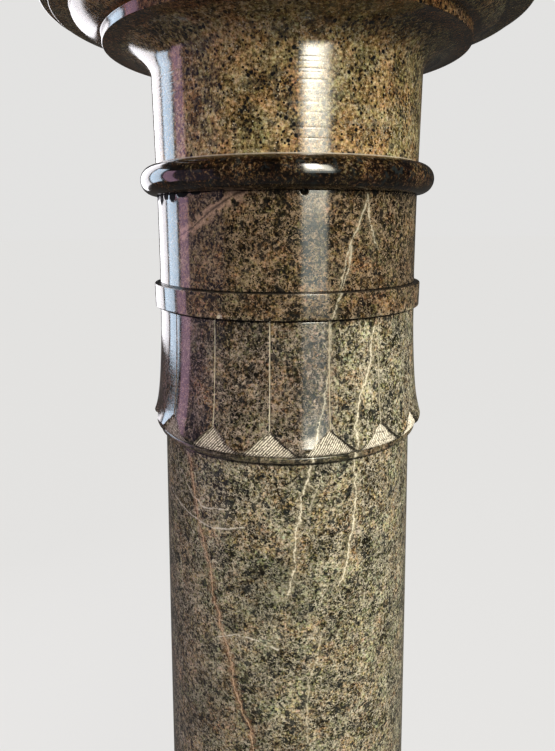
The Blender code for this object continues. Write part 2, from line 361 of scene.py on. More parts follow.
    # fine light and dark grit over everything
    grit = nodes.step(nodes.noise(place, 1.1, 2.0, 0.6), 0.30, 0.70, *look["grit"], smooth=False)
    colour = nodes.vector("SCALE", colour, scale=grit)

    relief = nodes.math("MULTIPLY", nodes.noise(bent, 3.0, 3.0, 0.6), 0.02)

    # lathe lines: noise that changes with the height alone
    lathe = nodes.add("ShaderNodeTexNoise", noise_dimensions="1D")
    nodes.put(lathe.inputs["W"], nodes.math("MULTIPLY", height, look["latheLines"]))
    nodes.put(lathe.inputs["Detail"], 3.0)
    relief = nodes.math("ADD", relief, nodes.math("MULTIPLY", lathe.outputs["Fac"], look["latheShare"]))

    if look["tooled"]:
        # "seam" is 1 along a groove between petals. "tooled" is 1 on unpolished stone, and "cut" counts the saw cuts
        seam = nodes.step(nodes.noise(place, 5.0, 2.0), 0.25, 0.5, 0.35, 0.9)
        seam = nodes.math("MULTIPLY", nodes.attribute("seam"), seam)
        colour = nodes.blend(seam, colour, look["pale"])
        tooled = nodes.attribute("tooled")
        across = nodes.math("ADD", nodes.attribute("cut"), nodes.math("MULTIPLY", nodes.noise(place, 5.0, 2.0), 0.35))
        ridge = nodes.math("COSINE", nodes.math("MULTIPLY", across, 2 * math.pi))
        ridge = nodes.math("MULTIPLY", nodes.math("ADD", ridge, 1.0), 0.5)
        bare = nodes.blend(nodes.step(ridge, 0.15, 0.7), look["cutFoot"], look["cutRidge"])
        bare = nodes.blend(nodes.step(nodes.noise(place, 2.0, 4.0, 0.75), 0.46, 0.64), bare, look["cutFoot"])
        colour = nodes.blend(tooled, colour, nodes.blend(0.45, bare, nodes.blend(1.0, bare, colour, "SCREEN")))
        # painted shade: the shade attribute, on the drill pit, the walls under the right-hand petal edges and the
        # strip under the petal tips, turns the colour to the speck colour
        shade = nodes.step(nodes.noise(place, 5.0, 2.0), 0.2, 0.45, 0.5, 1.0)
        shade = nodes.math("MULTIPLY", nodes.attribute("shade"), shade)
        colour = nodes.blend(shade, colour, look["speck"])
        rough = nodes.math("MAXIMUM", rough, nodes.math("MULTIPLY", tooled, 0.8))
        cutRelief = nodes.math("MULTIPLY", nodes.math("ADD", ridge, nodes.noise(place, 1.2, 2.0)), 0.5)
        relief = nodes.math("ADD", relief, nodes.math("MULTIPLY", cutRelief, tooled))

        ragged = nodes.math("MULTIPLY", nodes.math("SUBTRACT", nodes.noise(place, 2.5), 0.5), 0.5)
        mastic = nodes.step(nodes.math("ADD", nodes.attribute("mastic"), ragged), 0.45, 0.6)
        colour = nodes.blend(mastic, colour, look["mastic"])
        rough = nodes.math("MAXIMUM", rough, nodes.math("MULTIPLY", mastic, 0.85))

        sheen = nodes.step(nodes.math("MAXIMUM", tooled, mastic), 0.0, 1.0, 0.5, 0.08)
        nodes.put(shader.inputs["Specular IOR Level"], sheen)

    if look.get("joint"):
        pale = nodes.math("MULTIPLY", nodes.step(height, look["joint"] + 0.0010, look["joint"] + 0.0004), 0.7)
        colour = nodes.blend(pale, colour, look["mortar"])
        rough = nodes.math("MAXIMUM", rough, nodes.math("MULTIPLY", pale, 0.8))

    bump = nodes.add("ShaderNodeBump")
    bump.inputs["Strength"].default_value = 1.0
    bump.inputs["Distance"].default_value = look["bump"]
    nodes.put(bump.inputs["Height"], relief)
    nodes.put(shader.inputs["Normal"], bump.outputs[0])
    nodes.put(shader.inputs["Base Color"], colour)
    nodes.put(shader.inputs["Roughness"], rough)
    shader.inputs["IOR"].default_value = look["gloss"]
    return stone


# width in mm, halo in widths, and how far each covers the stone
creamVein = {
    "width": 0.8, "share": 1.0, "colour": (0.74, 0.68, 0.52),
    "halo": 5.0, "haloShare": 0.42, "haloColour": (0.33, 0.29, 0.19),
}
faintVein = dict(creamVein, share=0.5, haloShare=0.2, width=0.75)
darkVein = {
    "width": 2.0, "share": 0.9, "colour": (0.010, 0.007, 0.006),
    "halo": 3.2, "haloShare": 0.95, "haloColour": (0.40, 0.27, 0.19),
}
rustVein = {
    "width": 0.8, "share": 0.85, "colour": (0.66, 0.47, 0.30),
    "halo": 6.0, "haloShare": 0.40, "haloColour": (0.30, 0.145, 0.075),
}

shaftLook = {
    "wander": 1.3, "tone": 0.45,
    "cloudSize": 24.0, "cloudShare": 0.95, "grainSize": 2.6, "grainShare": 1.75,
    "netSize": 2.5, "netWidth": 0.15, "netPatch": 22.0, "netShare": 0.12,
    "hueSizes": [(3.0, 1.15), (16.0, 0.35)], "hueLean": (0.75, 0.30, 1.25),  # size, share
    "driftSize": 30.0, "greenish": (0.91, 1.01, 0.96), "brownish": (1.09, 0.97, 0.87),
    "ground": [(0.22, (0.004, 0.0035, 0.0015)), (0.38, (0.028, 0.024, 0.012)), (0.50, (0.098, 0.085, 0.049)),
               (0.62, (0.210, 0.180, 0.108)), (0.80, (0.500, 0.445, 0.315))],
    # left and right in degrees from the front, low, high and softness in metres, what the colour is multiplied by
    "paintedShadeAndTone": [
        # the drum darker, then painted shade on the left of the petals, where less light falls
        (-400, 400, 1.4060, 1.60, 0.006, (0.54, 0.44, 0.38)), (-115, 13, 1.2945, 1.4060, 0.006, (0.60, 0.54, 0.56)),
        (-400, 400, 1.2876, 1.2940, 0.0005, (0.58, 0.54, 0.50)),
        # more painted shade further to the left of the petals
        (-115, -38, 1.2945, 1.4060, 0.006, (0.74, 0.68, 0.80)),
        (-26, 4, 1.135, 1.200, 0.012, (0.72, 0.74, 0.74)), (-60, -12, 1.00, 1.09, 0.015, (0.80, 0.80, 0.80)),
    ],
    "rustSize": 30.0, "rustFrom": (0.56, 0.72), "rustShare": 0.7, "rust": (1.10, 0.80, 0.62),
    "hairs": [(6.0, 0.22, 0.40), (12.0, 0.26, 0.60), (30.0, 0.34, 0.70)],  # size, width, share
    "pale": (0.66, 0.60, 0.46),
    "blotchSize": 7.0, "blotchFrom": (0.575, 0.645), "blotchShare": 0.85, "blotch": (0.011, 0.014, 0.014),
    # size of the cells that hold one speck each, speck radius as a share of it, share of cells with a speck, colour
    "specks": [(1.9, 0.30, 0.30, "fleck"), (2.6, 0.34, 0.40, "speck"), (6.0, 0.24, 0.28, "speck")],
    "speck": (0.006, 0.006, 0.006), "fleck": (0.50, 0.45, 0.33),
    "grit": (0.72, 1.28),
    "gloss": 1.68, "rough": (0.07, 0.13), "bump": 0.0003, "latheLines": 900.0, "latheShare": 0.03,
    "tooled": True, "cutFoot": (0.050, 0.040, 0.028), "cutRidge": (0.84, 0.77, 0.62),
    "mastic": (0.004, 0.004, 0.004),
    # painted shade: dark lines below the ring and at the band's foot and top
    "paintedShadeLines": [(1.2841, 1.2879), (1.4049, 1.4071), (1.4278, 1.4291)],  # lowest and highest level of each line
    "dull": [(1.2874, 1.2942, 0.30), (1.4274, 1.4284, 0.30)],  # worn parts: lowest, highest level, roughness
    # lines of (degrees from the front, height in metres)
    "fractures": [
        dict(creamVein, lines=[
            [(-4.4, 1.1647), (-1.6, 1.1928), (-2.0, 1.2119), (-0.5, 1.2296), (0.7, 1.2544), (3.4, 1.2704),
             (4.2, 1.2837), (6.0, 1.3100), (7.2, 1.3235)],
            [(16.5, 1.1682), (19.1, 1.1797), (21.3, 1.2078), (23.2, 1.2223), (24.0, 1.2409), (24.3, 1.2688),
             (22.0, 1.2937), (21.2, 1.3145), (22.7, 1.3297), (24.3, 1.3419), (27.3, 1.3553), (29.4, 1.3699),
             (31.0, 1.3972)],
            [(150.0, 0.62), (144.0, 0.80), (149.0, 0.97), (141.0, 1.12)],
            [(-118.0, 1.18), (-124.0, 1.30), (-119.0, 1.44), (-126.0, 1.49)],
        ]),
        dict(faintVein, lines=[
            [(7.2, 1.3235), (8.8, 1.3346), (9.7, 1.3485), (10.9, 1.3590), (11.7, 1.3987), (12.1, 1.4105),
             (13.1, 1.4214), (15.8, 1.4316), (17.7, 1.4517), (20.0, 1.4670), (26.0, 1.4935), (26.7, 1.5040)],
            [(13.4, 1.4214), (16.6, 1.4316), (19.2, 1.4480), (20.3, 1.4640)],
            [(26.7, 1.5040), (28.1, 1.4821)],
            [(3.2, 1.0075), (3.5, 1.0427), (3.9, 1.0759), (6.8, 1.0939), (9.2, 1.1200)],
            [(3.5, 1.2430), (5.5, 1.2510), (5.9, 1.2601), (4.2, 1.2685)],
            [(28.1, 1.4821), (30.5, 1.4700), (32.6, 1.4602)],
            [(-8.0, 0.42), (-2.0, 0.60), (-6.0, 0.78), (-1.0, 0.93)],
            [(62.0, 0.55), (69.0, 0.72), (64.0, 0.90), (71.0, 1.05), (66.0, 1.20)],
        ]),
        dict(rustVein, lines=[
            [(-19.9, 1.0161), (-25.2, 1.0458), (-27.5, 1.0660), (-30.2, 1.0982), (-34.5, 1.1285), (-37.5, 1.1499),
             (-38.9, 1.1794), (-41.6, 1.1954), (-45.6, 1.2193), (-47.9, 1.2521), (-50.5, 1.2800)],
            [(-19.9, 1.0161), (-15.0, 0.93), (-12.0, 0.82), (-5.0, 0.70)],
            [(104.0, 0.86), (98.0, 1.02), (101.0, 1.18), (95.0, 1.35)],
        ]),
        dict(faintVein, width=0.8, share=0.85, colour=(0.72, 0.68, 0.58), lines=[
            [(-71.2, 1.2335), (-53.3, 1.2233), (-39.7, 1.2176), (-32.4, 1.2191), (-22.4, 1.2256)],
            [(-58.0, 1.2620), (-49.0, 1.2420), (-42.0, 1.2350), (-30.0, 1.2390)],
            [(-36.0, 1.1080), (-26.0, 1.1180), (-17.0, 1.1160), (-9.0, 1.1080)],
        ]),
        dict(darkVein, lines=[[(-20.0, 1.5053), (-23.5, 1.5038), (-33.7, 1.4923), (-44.6, 1.4778), (-52.0, 1.4720)]]),
    ],
}

plainLook = dict(shaftLook, tooled=False, fractures=[], paintedShadeLines=[], dull=[], paintedShadeAndTone=[])
capitalLook = dict(
    plainLook, shift=(310.0, 170.0, 90.0), dull=[(1.6994, 1.72, 0.62)],  # the top bed isn't polished
    cloudShare=0.6, hueLean=(0.60, 0.25, 0.9),
    ground=[(0.22, (0.005, 0.003, 0.001)), (0.38, (0.060, 0.038, 0.014)), (0.50, (0.185, 0.128, 0.058)),
            (0.62, (0.330, 0.245, 0.125)), (0.80, (0.540, 0.440, 0.270))],
    # painted shade on the fillet under the slab, which faces down away from the light
    paintedShadeAndTone=[(-400, 400, 1.6255, 1.6362, 0.0005, (0.62, 0.46, 0.40))],
    specks=[(1.9, 0.30, 0.20, "fleck"), (3.2, 0.38, 0.45, "speck"), (6.5, 0.30, 0.50, "speck")],
    rustShare=0.45, netShare=0.06, grainShare=1.35, tone=0.48,
    hairs=[(12.0, 0.24, 0.35)], blotchSize=9.0, blotchFrom=(0.56, 0.64), blotchShare=0.55,
    joint=levels["capital"][0], mortar=(0.42, 0.36, 0.28), latheShare=0.06,
)
ringLook = dict(
    plainLook, shift=(120.0, 410.0, 30.0),
    ground=[(0.22, (0.001, 0.0005, 0.0003)), (0.38, (0.004, 0.002, 0.001)), (0.50, (0.018, 0.009, 0.004)),
            (0.62, (0.050, 0.028, 0.012)), (0.80, (0.150, 0.100, 0.055))],
    rustShare=0.5, hairs=[], rough=(0.08, 0.12), latheShare=0.01,
    specks=[(2.6, 0.34, 0.40, "speck"), (6.0, 0.24, 0.28, "speck")],
)
baseLook = dict(plainLook, shift=(40.0, 60.0, 520.0))

shaftStone = serpentine("shaftSerpentine", shaftLook)
capitalStone = serpentine("capitalSerpentine", capitalLook)
ringStone = serpentine("ringSerpentine", ringLook)
baseStone = serpentine("baseSerpentine", baseLook)
print("stones mixed")


shaft = {
    "footRadius": 0.1477, "headRadius": 0.1223, "entasis": 0.0023,
    "plainHeight": 1.1159,
    "columns": 384, "rows": 90,
}


def plainShaft(size):
    # Radius by a straight taper plus entasis 4 e d (1 - d), with d the share of the way down.
    foot = levels["shaft"][0]
    ease = 0.0012
    d = np.linspace(1, 0, size["rows"])
    radius = size["headRadius"] + (size["footRadius"] - size["headRadius"]) * d + 4 * size["entasis"] * d * (1 - d)
    line = np.stack([radius, foot + size["plainHeight"] * (1 - d)], 1)
    eased = easedLine([(0.05, foot, 0), (line[0, 0], foot, ease), (line[1, 0], line[1, 1], 0)])
    line = np.concatenate([eased[:-1], line[1:]])
    angle = evenAngles(size["columns"])
    radius = np.repeat(line[:, :1], size["columns"], 1)
    return stoneMesh("plainShaft", angle, radius, line[:, 1:], shaftStone)


collar = {
    "petals": 16,
    "ringRadius": 0.1279, "ringHeight": 0.0059, "ringEase": 0.0024,
    "height": 0.1134,  # from the ring to the band
    "topRadius": 0.1220, "swellRadius": 0.1332, "tipHeight": 0.0088,
    "quirkDepth": 0.0009, "quirkHeight": 0.0011,  # sunk line under the band
    "seamHalfWidth": 0.00062, "seamDepth": 0.0008,
    # half width in degrees of the recess between two petals, by height over the ring
    "notchHeights": [-0.001, 0.0024, 0.0046, 0.0096, 0.0232],
    "notchHalves": [11.35, 11.35, 9.3, 6.65, 0.0],
    # its depth below the petals, by the same heights
    "notchDepths": [0.0010, 0.0018, 0.0028, 0.0034, 0.0010],
    "edge": 0.0011,  # width of the step from a petal down into its recess
    "cutSpacing": 0.0019, "cutDepth": 0.00028, "cutSlope": 52.0,  # degrees from level
    "flatterCuts": {4: 22.0, 3: 30.0},  # slope at two seams, counted from the back
    "rowSpacing": 0.0006, "columnSpacing": 0.27,
    # chips at the petals' edges: degrees from the front, height, radius, depth, in metres
    "chips": [(-3.5, 1.3028, 0.0026, 0.0012), (1.7, 1.2968, 0.0030, 0.0014), (26.7, 1.3092, 0.0022, 0.0011),
              (42.3, 1.3032, 0.0030, 0.0016), (-52.0, 1.3000, 0.0024, 0.0010), (131.0, 1.3010, 0.0028, 0.0012),
              (-140.0, 1.2990, 0.0024, 0.0012)],
}


def petalCollar(size):
    # Sixteen petals: their radius swells with the share d of the way down as 0.7 d^1.6 + 0.3 d^9, and rolls under
    # to the ring by a quarter ellipse. V grooves part them. Below each groove a recess widens to the ring, and
    # saw cuts slant across it.
    ringFoot = levels["shaft"][0] + shaft["plainHeight"]
    ringHead = ringFoot + size["ringHeight"]
    top = ringHead + size["height"]
    period = 360 / size["petals"]

    near = np.array([0, 0.09, 0.19, 0.30])
    wide = np.arange(0.30 + size["columnSpacing"], period / 2 - 0.1, size["columnSpacing"])
    half = np.concatenate([near, wide])
    offsets = np.concatenate([-half[:0:-1], half, [period / 2]])
    seams = (np.arange(size["petals"]) + 0.5) * period - 180
    degrees = (seams[:, None] + offsets).ravel()
    across = np.broadcast_to(offsets, (size["petals"], len(offsets))).ravel()  # degrees from the nearest seam
    which = np.repeat(np.arange(size["petals"]), len(offsets))
    order = np.argsort(degrees)
    degrees, across, which = degrees[order], across[order], which[order]
    angle = np.radians(degrees)

    recessTop = size["notchHeights"][-1]
    fineTop = recessTop + 0.001
    fine = np.arange(0, fineTop, size["rowSpacing"])
    coarse = fineTop + (size["height"] - fineTop - 0.003) * np.linspace(0, 1, 16) ** 1.1
    quirk = size["height"] - np.array([0.0022, 0.0016, 0.0011, 0.0006, 0.0])
    rise = np.concatenate([fine, coarse, quirk])[:, None]

    drop = size["height"] - size["tipHeight"]
    d = np.clip((size["height"] - rise) / drop, 0, 1)
    petal = size["topRadius"] + (size["swellRadius"] - size["topRadius"]) * (0.7 * d**1.6 + 0.3 * d**9)
    under = np.clip(1 - rise / size["tipHeight"], 0, 1)  # 0 at the swelling, 1 at the ring
    petal = petal - (size["swellRadius"] - size["ringRadius"] - 0.0004) * (1 - np.sqrt(np.clip(1 - under**2, 0, 1)))
    petal = petal - size["quirkDepth"] * np.exp(-(((size["height"] - rise - 0.0006) / size["quirkHeight"]) ** 2) * 2)

    # seam
    apart = np.abs(np.radians(across)) * petal  # metres along the surface
    depth = size["seamDepth"] * np.clip(1 - apart / size["seamHalfWidth"], 0, 1)
    radius = petal - depth * (rise > 0.020)
    seam = np.clip(1.5 - 1.5 * apart / size["seamHalfWidth"], 0, 1) * (rise > 0.022)

    # recess
    halfWidth = np.interp(rise, size["notchHeights"], size["notchHalves"])
    wander = 0.0004 * unevenness(angle, rise, 5, 90, 900)
    inside = (np.radians(halfWidth - np.abs(across)) * petal) * 0.82 + wander
    inside = np.where(rise > recessTop, -0.001, inside)
    tooled = np.clip(inside / size["edge"], 0, 1)
    # painted shade: the wall under each right-hand petal edge, and the strip between the petal tips and the ring, are
    # marked to be coloured dark
    shade = np.clip(4 * tooled * (1 - tooled) + (tooled > 0.5) * np.clip(2.3 - inside / size["edge"], 0, 1), 0, 1)
    shade = shade * np.where(across > 0.3, 0.95, 0.15) * (rise > 0.0006)
    shade = np.maximum(shade, 0.8 * np.clip((np.abs(across) - 8.2) / 1.2, 0, 1) * (rise < 0.0034) * (rise > 0.0006))
    tooled = tooled * tooled * (3 - 2 * tooled)
    rng = np.random.default_rng(11)
    tilt = size["cutSlope"] + rng.uniform(-7, 7, size["petals"])
    tilt[list(size["flatterCuts"])] = list(size["flatterCuts"].values())
    tilt = np.radians(tilt)[which]
    pace = size["cutSpacing"] * rng.uniform(0.9, 1.12, size["petals"])[which]
    start = rng.uniform(0, 1, size["petals"])[which]
    cut = (np.radians(across) * 0.13 * np.sin(tilt) - rise * np.cos(tilt)) / pace + start
    cuts = size["cutDepth"] * 0.5 * (1 - np.cos(2 * math.pi * cut))
    sunk = np.interp(rise, size["notchHeights"], size["notchDepths"])
    radius = radius - tooled * (sunk + cuts + 0.00012 * unevenness(angle, rise, 7, 200, 2500))

    broken = np.zeros_like(radius)
    for chipAngle, chipHeight, chipRadius, chipDepth in size["chips"]:
        gap = np.hypot(np.radians(degrees - chipAngle) * 0.13, rise + ringHead - chipHeight)
        gap = gap * (1 + 0.25 * unevenness(angle, rise, 31, 160, 1800))
        dent = np.clip(1 - (gap / chipRadius) ** 2, 0, 1)
        radius = radius - chipDepth * dent * (1 - tooled)
        broken = np.maximum(broken, np.sqrt(dent) * 0.55 * (1 - tooled))

    # ring under the petals, then the collar itself
    ringLine = easedLine([
        (0.05, ringFoot, 0), (size["ringRadius"], ringFoot, size["ringEase"]),
        (size["ringRadius"], ringHead - 0.0004, 0.0016), (size["ringRadius"] - 0.0020, ringHead - 0.0001, 0),
    ])
    ringRows = np.repeat(ringLine[:, :1], len(angle), 1)
    radius = np.concatenate([ringRows, radius])
    height = np.concatenate([ringLine[:, 1:], rise + ringHead])
    flat = np.zeros((len(ringLine), len(angle)))
    tooled = np.concatenate([flat, np.maximum(tooled, broken)])
    cut, seam, shade = (np.concatenate([flat, values]) for values in (cut, seam, shade))
    print("  petal collar:", radius.size * 2, "triangles")
    marks = {"tooled": tooled, "cut": cut, "seam": seam, "shade": shade}
    return stoneMesh("petalCollar", angle, radius, height, shaftStone, marks)


drum = {
    "bandRadius": 0.1263, "bandHeight": 0.0211, "bandEase": 0.0009,
    "flare": 0.0004, "flareHeight": 0.0080,
    "footRadius": 0.1208, "headRadius": 0.1199,
    "quirkDepth": 0.0007,
    "pit": (1.5, 0.0033, 0.0030),  # drill pit under the ring: degrees from the front, radius, depth
    "bandChip": (-30.2, 1.4085, 0.0030, 0.0012),
    # smears of mastic that ran from the joint: degrees from the front, half width in degrees, length
    "smears": [(-88, 4, 0.0060), (-81, 3, 0.0110), (-75, 3, 0.0060), (-69, 3, 0.0125), (-63, 3, 0.0070),
               (-57, 3, 0.0100), (-50, 4, 0.0050), (-42, 3, 0.0030), (118, 4, 0.0050), (129, 5, 0.0080)],
    "columns": 480,
}


def drumAndBand(size):
    # Band, flare by eased corners and nearly straight drum. With x the share of the way out from the middle, the
    # pit's depth follows sqrt(1 - x^2) and the chip's 1 - x^2.
    head = levels["shaft"][1]
    foot = levels["shaft"][0] + shaft["plainHeight"] + collar["ringHeight"] + collar["height"]
    bandHead = foot + size["bandHeight"]
    r, e = size["bandRadius"], size["bandEase"]
    flareFoot = size["footRadius"] + size["flare"]
    line = easedLine([
        (0.05, foot, 0), (r, foot, e), (r, bandHead, e), (flareFoot - size["quirkDepth"], bandHead + 0.0001, 0.0003),
        (flareFoot, bandHead + 0.0012, 0.0005), (size["footRadius"], bandHead + size["flareHeight"], 0.004),
        (size["headRadius"], head - 0.0085, 0),
    ])
    rise = np.linspace(0, 1, 18)[1:]
    drumTop = np.stack([np.full(17, size["headRadius"]), head - 0.0085 + 0.0085 * rise], 1)
    line = np.concatenate([line, drumTop])
    bandRows = np.linspace(foot + e, bandHead - e, 14)[1:-1]
    cutAt = np.searchsorted(line[:, 1], bandRows[0])
    line = np.concatenate([line[:cutAt], np.stack([np.full(12, r), bandRows], 1), line[cutAt:]])

    pitAngle, pitRadius, pitDepth = size["pit"]
    degrees = np.degrees(evenAngles(size["columns"]))
    extra = np.concatenate([pitAngle + np.linspace(-2.2, 2.2, 23), size["bandChip"][0] + np.linspace(-2.2, 2.2, 15)])
    degrees = np.unique(np.round(np.concatenate([degrees, extra]), 3))
    angle = np.radians(degrees)
    radius = np.repeat(line[:, :1], len(angle), 1)
    height = line[:, 1:]

    gap = np.hypot(np.radians(degrees - pitAngle) * size["headRadius"], height - head)
    pit = np.sqrt(np.clip(1 - (gap / pitRadius) ** 2, 0, 1))
    radius = radius - pitDepth * pit
    chipAngle, chipHeight, chipRadius, chipDepth = size["bandChip"]
    gap = np.hypot(np.radians(degrees - chipAngle) * r, height - chipHeight)
    gap = gap * (1 + 0.3 * unevenness(angle, height, 3, 160, 1500))
    chip = np.clip(1 - (gap / chipRadius) ** 2, 0, 1) * (radius > size["footRadius"] + 0.002)
    radius = radius - chipDepth * chip
    # painted shade: the drill pit is marked dark through the shade attribute
    tooled, shade = np.sqrt(chip) * 0.7, np.clip(pit * 2, 0, 0.95)

    mastic = np.zeros_like(radius)
    for smearAngle, smearHalf, smearLength in size["smears"]:
        side = (degrees - smearAngle) / smearHalf
        reach = smearLength * np.sqrt(np.clip(1 - side**2, 0, 1))
        down = head - height
        mastic = np.maximum(mastic, np.clip(1.2 - down / np.maximum(reach, 1e-5), 0, 1) * (reach > 0))
    mastic = np.maximum(mastic, np.clip(1 - (head - height) / 0.0010, 0, 1) * (np.abs(degrees + 64) < 30))
    radius = radius + 0.00025 * np.clip(mastic * 2 - 0.7, 0, 1)
    marks = {"tooled": tooled, "mastic": mastic, "cut": np.zeros_like(radius), "shade": shade}
    return stoneMesh("drumAndBand", angle, radius, height, shaftStone, marks)


shaftPieces = [plainShaft(shaft), petalCollar(collar), drumAndBand(drum)]
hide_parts("shaft")
print("shaft cut")


neckRing = {"radius": 0.1342, "innerRadius": 0.1200, "columns": 512, "rows": 40, "fullness": 0.92}


def turnedNeckRing(size):
    # A half round between its two beds.
    low, high = levels["neck_ring"]
    line = roundLine(size["innerRadius"], size["radius"], low, high, size["rows"], size["fullness"])
    angle = evenAngles(size["columns"])
    return stoneMesh("neckRing", angle, np.repeat(line[:, :1], len(angle), 1), line[:, 1:], ringStone)


ringPiece = turnedNeckRing(neckRing)
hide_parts("neck_ring")
print("neck ring turned")


capital = {
    "neckRadius": 0.1200, "neckHeight": 0.0720,
    "cavettoRise": 0.0231, "cavettoRun": 0.0360,
    "filletRadius": 0.1592, "filletHeight": 0.0081,
    "ovoloRise": 0.0132, "ovoloRadius": 0.1820, "ovoloFullness": 0.5, "quirk": 0.0040,
    "stripRadius": 0.1984, "strip": 0.0046,
    "abacusRadius": 0.2058, "abacusHeight": 0.0434, "ease": 0.0008,
    # lathe lines left on the neck: height over its foot, depth
    "latheLines": [(0.0652, 0.00010), (0.0621, 0.00005), (0.0574, 0.00010), (0.0549, 0.00004), (0.0501, 0.00010),
                   (0.0437, 0.00004), (0.0352, 0.00005), (0.0281, 0.00004), (0.0178, 0.00007), (0.0104, 0.00007)],
    "lineWidth": 0.0007,
    "columns": 512,
}


def turnedCapital(size):
    # Straight neck with fine sunk lines (a dip of 1 - |x| across each), a cavetto by a quarter ellipse, an ovolo by
    # chord + fullness (quarter ellipse - chord), fillets with eased arrises, and the round slab.
    foot = levels["capital"][0]
    r, e = size["neckRadius"], size["ease"]
    neckHead = foot + size["neckHeight"]
    fillet = neckHead + size["cavettoRise"]
    ovolo = fillet + size["filletHeight"]
    quirk = ovolo + size["ovoloRise"]
    strip = quirk + size["quirk"]
    soffit = strip + size["strip"]
    top = soffit + size["abacusHeight"]
    rows = np.linspace(foot, neckHead, 40)
    lines = np.array(size["latheLines"])
    around = (foot + lines[:, :1] + np.array([-1.0, -0.5, 0, 0.5, 1.0]) * size["lineWidth"]).ravel()
    rows = np.unique(np.round(np.concatenate([rows, around]), 6))
    dip = np.clip(1 - np.abs(rows[:, None] - foot - lines[:, 0]) / size["lineWidth"], 0, 1) * lines[:, 1]
    neck = np.stack([r - dip.sum(1), rows], 1)
    cavetto = quarterLine((r, neckHead), (r + size["cavettoRun"], fillet), 24, alongHeight=True)[1:]
    filletLine = easedLine([
        tuple(cavetto[-1]) + (0,), (size["filletRadius"], fillet, e), (size["filletRadius"], ovolo, e),
        (size["filletRadius"] + 0.0009, ovolo + 0.0001, 0),
    ])[1:]
    start, end = np.array((size["filletRadius"] + 0.0009, ovolo + 0.0001)), np.array((size["ovoloRadius"], quirk))
    ellipse = quarterLine(start, end, 24)[1:]
    along = ((ellipse - start) / (end - start)).mean(1, keepdims=True)
    chord = start + (end - start) * along
    ovoloLine = chord + size["ovoloFullness"] * (ellipse - chord)
    slab = easedLine([
        tuple(ovoloLine[-1]) + (0,), (size["ovoloRadius"], strip - 0.0004, 0.0004),
        (size["ovoloRadius"] + 0.001, strip, 0.0004), (size["stripRadius"], strip, 0.0006),
        (size["stripRadius"], soffit, 0.0004), (size["abacusRadius"], soffit, e),
        (size["abacusRadius"], top, 0.0015), (0.08, top, 0),
    ])[1:]
    line = np.concatenate([neck, cavetto, filletLine, ovoloLine, slab])
    angle = evenAngles(size["columns"])
    return stoneMesh("capitalStone", angle, np.repeat(line[:, :1], len(angle), 1), line[:, 1:], capitalStone)


capitalPiece = turnedCapital(capital)
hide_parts("capital")
print("capital turned")


base = {
    "plinthWidth": 0.394, "plinthHeight": 0.0895, "plinthEase": 0.0016, "squareness": 70,
    "footTorusRadius": 0.190, "footTorusHeight": 0.046,
    "filletRadius": 0.171, "filletHeight": 0.008,
    "topTorusRadius": 0.166, "topRadius": 0.152,
    "columns": 384,
}


def mouldedBase(size):
    # Square plinth, by r = w / (|sin a|^p + |cos a|^p)^(1/p), under two half rounds with a fillet between them.
    w, h, e = size["plinthWidth"] / 2, size["plinthHeight"], size["plinthEase"]
    fillet = h + size["footTorusHeight"]
    torus = fillet + size["filletHeight"]
    top = levels["base"][1]
    corner = np.array([0.1, 0.25, 0.45, 0.75, 1.1, 1.6, 2.3])
    corners = (np.array([-135, -45, 45, 135])[:, None] + np.concatenate([-corner, [0], corner])).ravel()
    degrees = np.unique(np.round(np.concatenate([np.degrees(evenAngles(size["columns"])), corners]), 3))
    angle = np.radians(degrees)
    p = size["squareness"]
    square = 1 / (np.abs(np.sin(angle)) ** p + np.abs(np.cos(angle)) ** p) ** (1 / p)
    blockLine = easedLine([(0.05, 0, 0), (w, 0, e), (w, h, e), (w - 0.004, h, 0)])
    blockRows = blockLine[:, :1] * square
    footTorus = roundLine(size["filletRadius"], size["footTorusRadius"], h, fillet, 28)
    filletLine = np.array([[size["filletRadius"], fillet + 0.0002], [size["filletRadius"], torus - 0.0003]])
    bed = easedLine([
        tuple(filletLine[-1]) + (0,), (size["filletRadius"], torus, 0.0003), (size["topRadius"], torus, 0),
    ])[1:]
    topTorus = roundLine(size["topRadius"], size["topTorusRadius"], torus, top, 24)
    line = np.concatenate([footTorus, filletLine, bed[:-1], topTorus])
    radius = np.concatenate([blockRows, np.repeat(line[:, :1], len(angle), 1)])
    height = np.concatenate([blockLine[:, 1:], line[:, 1:]])
    return stoneMesh("baseStone", angle, radius, height, baseStone)


basePiece = mouldedBase(base)
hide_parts("base")
print("base moulded")


stage = {
    "floorHalf": 60.0, "floorColour": (0.07, 0.069, 0.067),
    "pale": (0.80, 0.795, 0.785), "paleShare": 0.88,  # evens out the pale floor where the camera sees it
    "airStrength": 0.035, "airColour": (0.95, 0.97, 1.0), "backdropStrength": 0.96,
}


def seenByCamera(nodes, hidden, shown, output):
    # One shader for the light that reaches the stone, and a paler one for what the camera sees.
    either = nodes.add("ShaderNodeMixShader")
    nodes.put(either.inputs[0], nodes.add("ShaderNodeLightPath").outputs["Is Camera Ray"])
    nodes.put(either.inputs[1], hidden)
    nodes.put(either.inputs[2], shown)
    nodes.put(output.inputs["Surface"], either.outputs[0])


